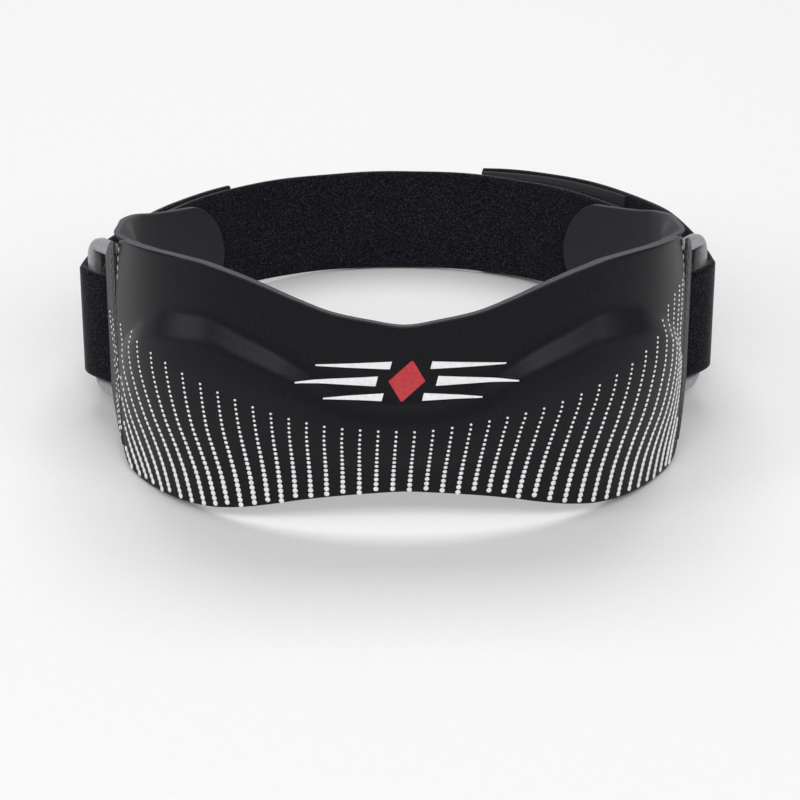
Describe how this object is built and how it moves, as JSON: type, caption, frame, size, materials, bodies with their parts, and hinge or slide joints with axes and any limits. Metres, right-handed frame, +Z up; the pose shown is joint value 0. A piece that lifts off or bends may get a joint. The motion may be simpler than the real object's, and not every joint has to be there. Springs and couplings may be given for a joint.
{
  "type": "patella strap",
  "caption": "Knee strap: a moulded printed pad bears on the tendon under the kneecap, and one loop-pile strap through a buckle at each side closes the ring round the leg.",
  "frame": {"origin": "middle of the footprint of the strap as it lies on a table, at the table's height", "axes": "+X across the pad to the viewer's right, +Y from the pad to the back of the strap, +Z up from the table"},
  "size_m": [0.1768, 0.1456, 0.0702],
  "materials": {
    "panel": "matte charcoal knit, moulded, with raised white silicone dots",
    "lining": "matte charcoal jersey over foam",
    "tab": "matte brushed grey-black webbing",
    "buckle": "moulded grey plastic, smooth",
    "strap": "matte black brushed loop pile",
    "hook": "moulded black hook tape"
  },
  "bodies": {
    "root": {"front_panel": "panel", "lining": "lining", "buckle_tab_left": "tab", "buckle_tab_right": "tab", "buckle_left": "buckle", "buckle_right": "buckle", "strap": "strap", "hook_patch_left": "hook", "hook_patch_right": "hook"}
  },
  "joints": []
}
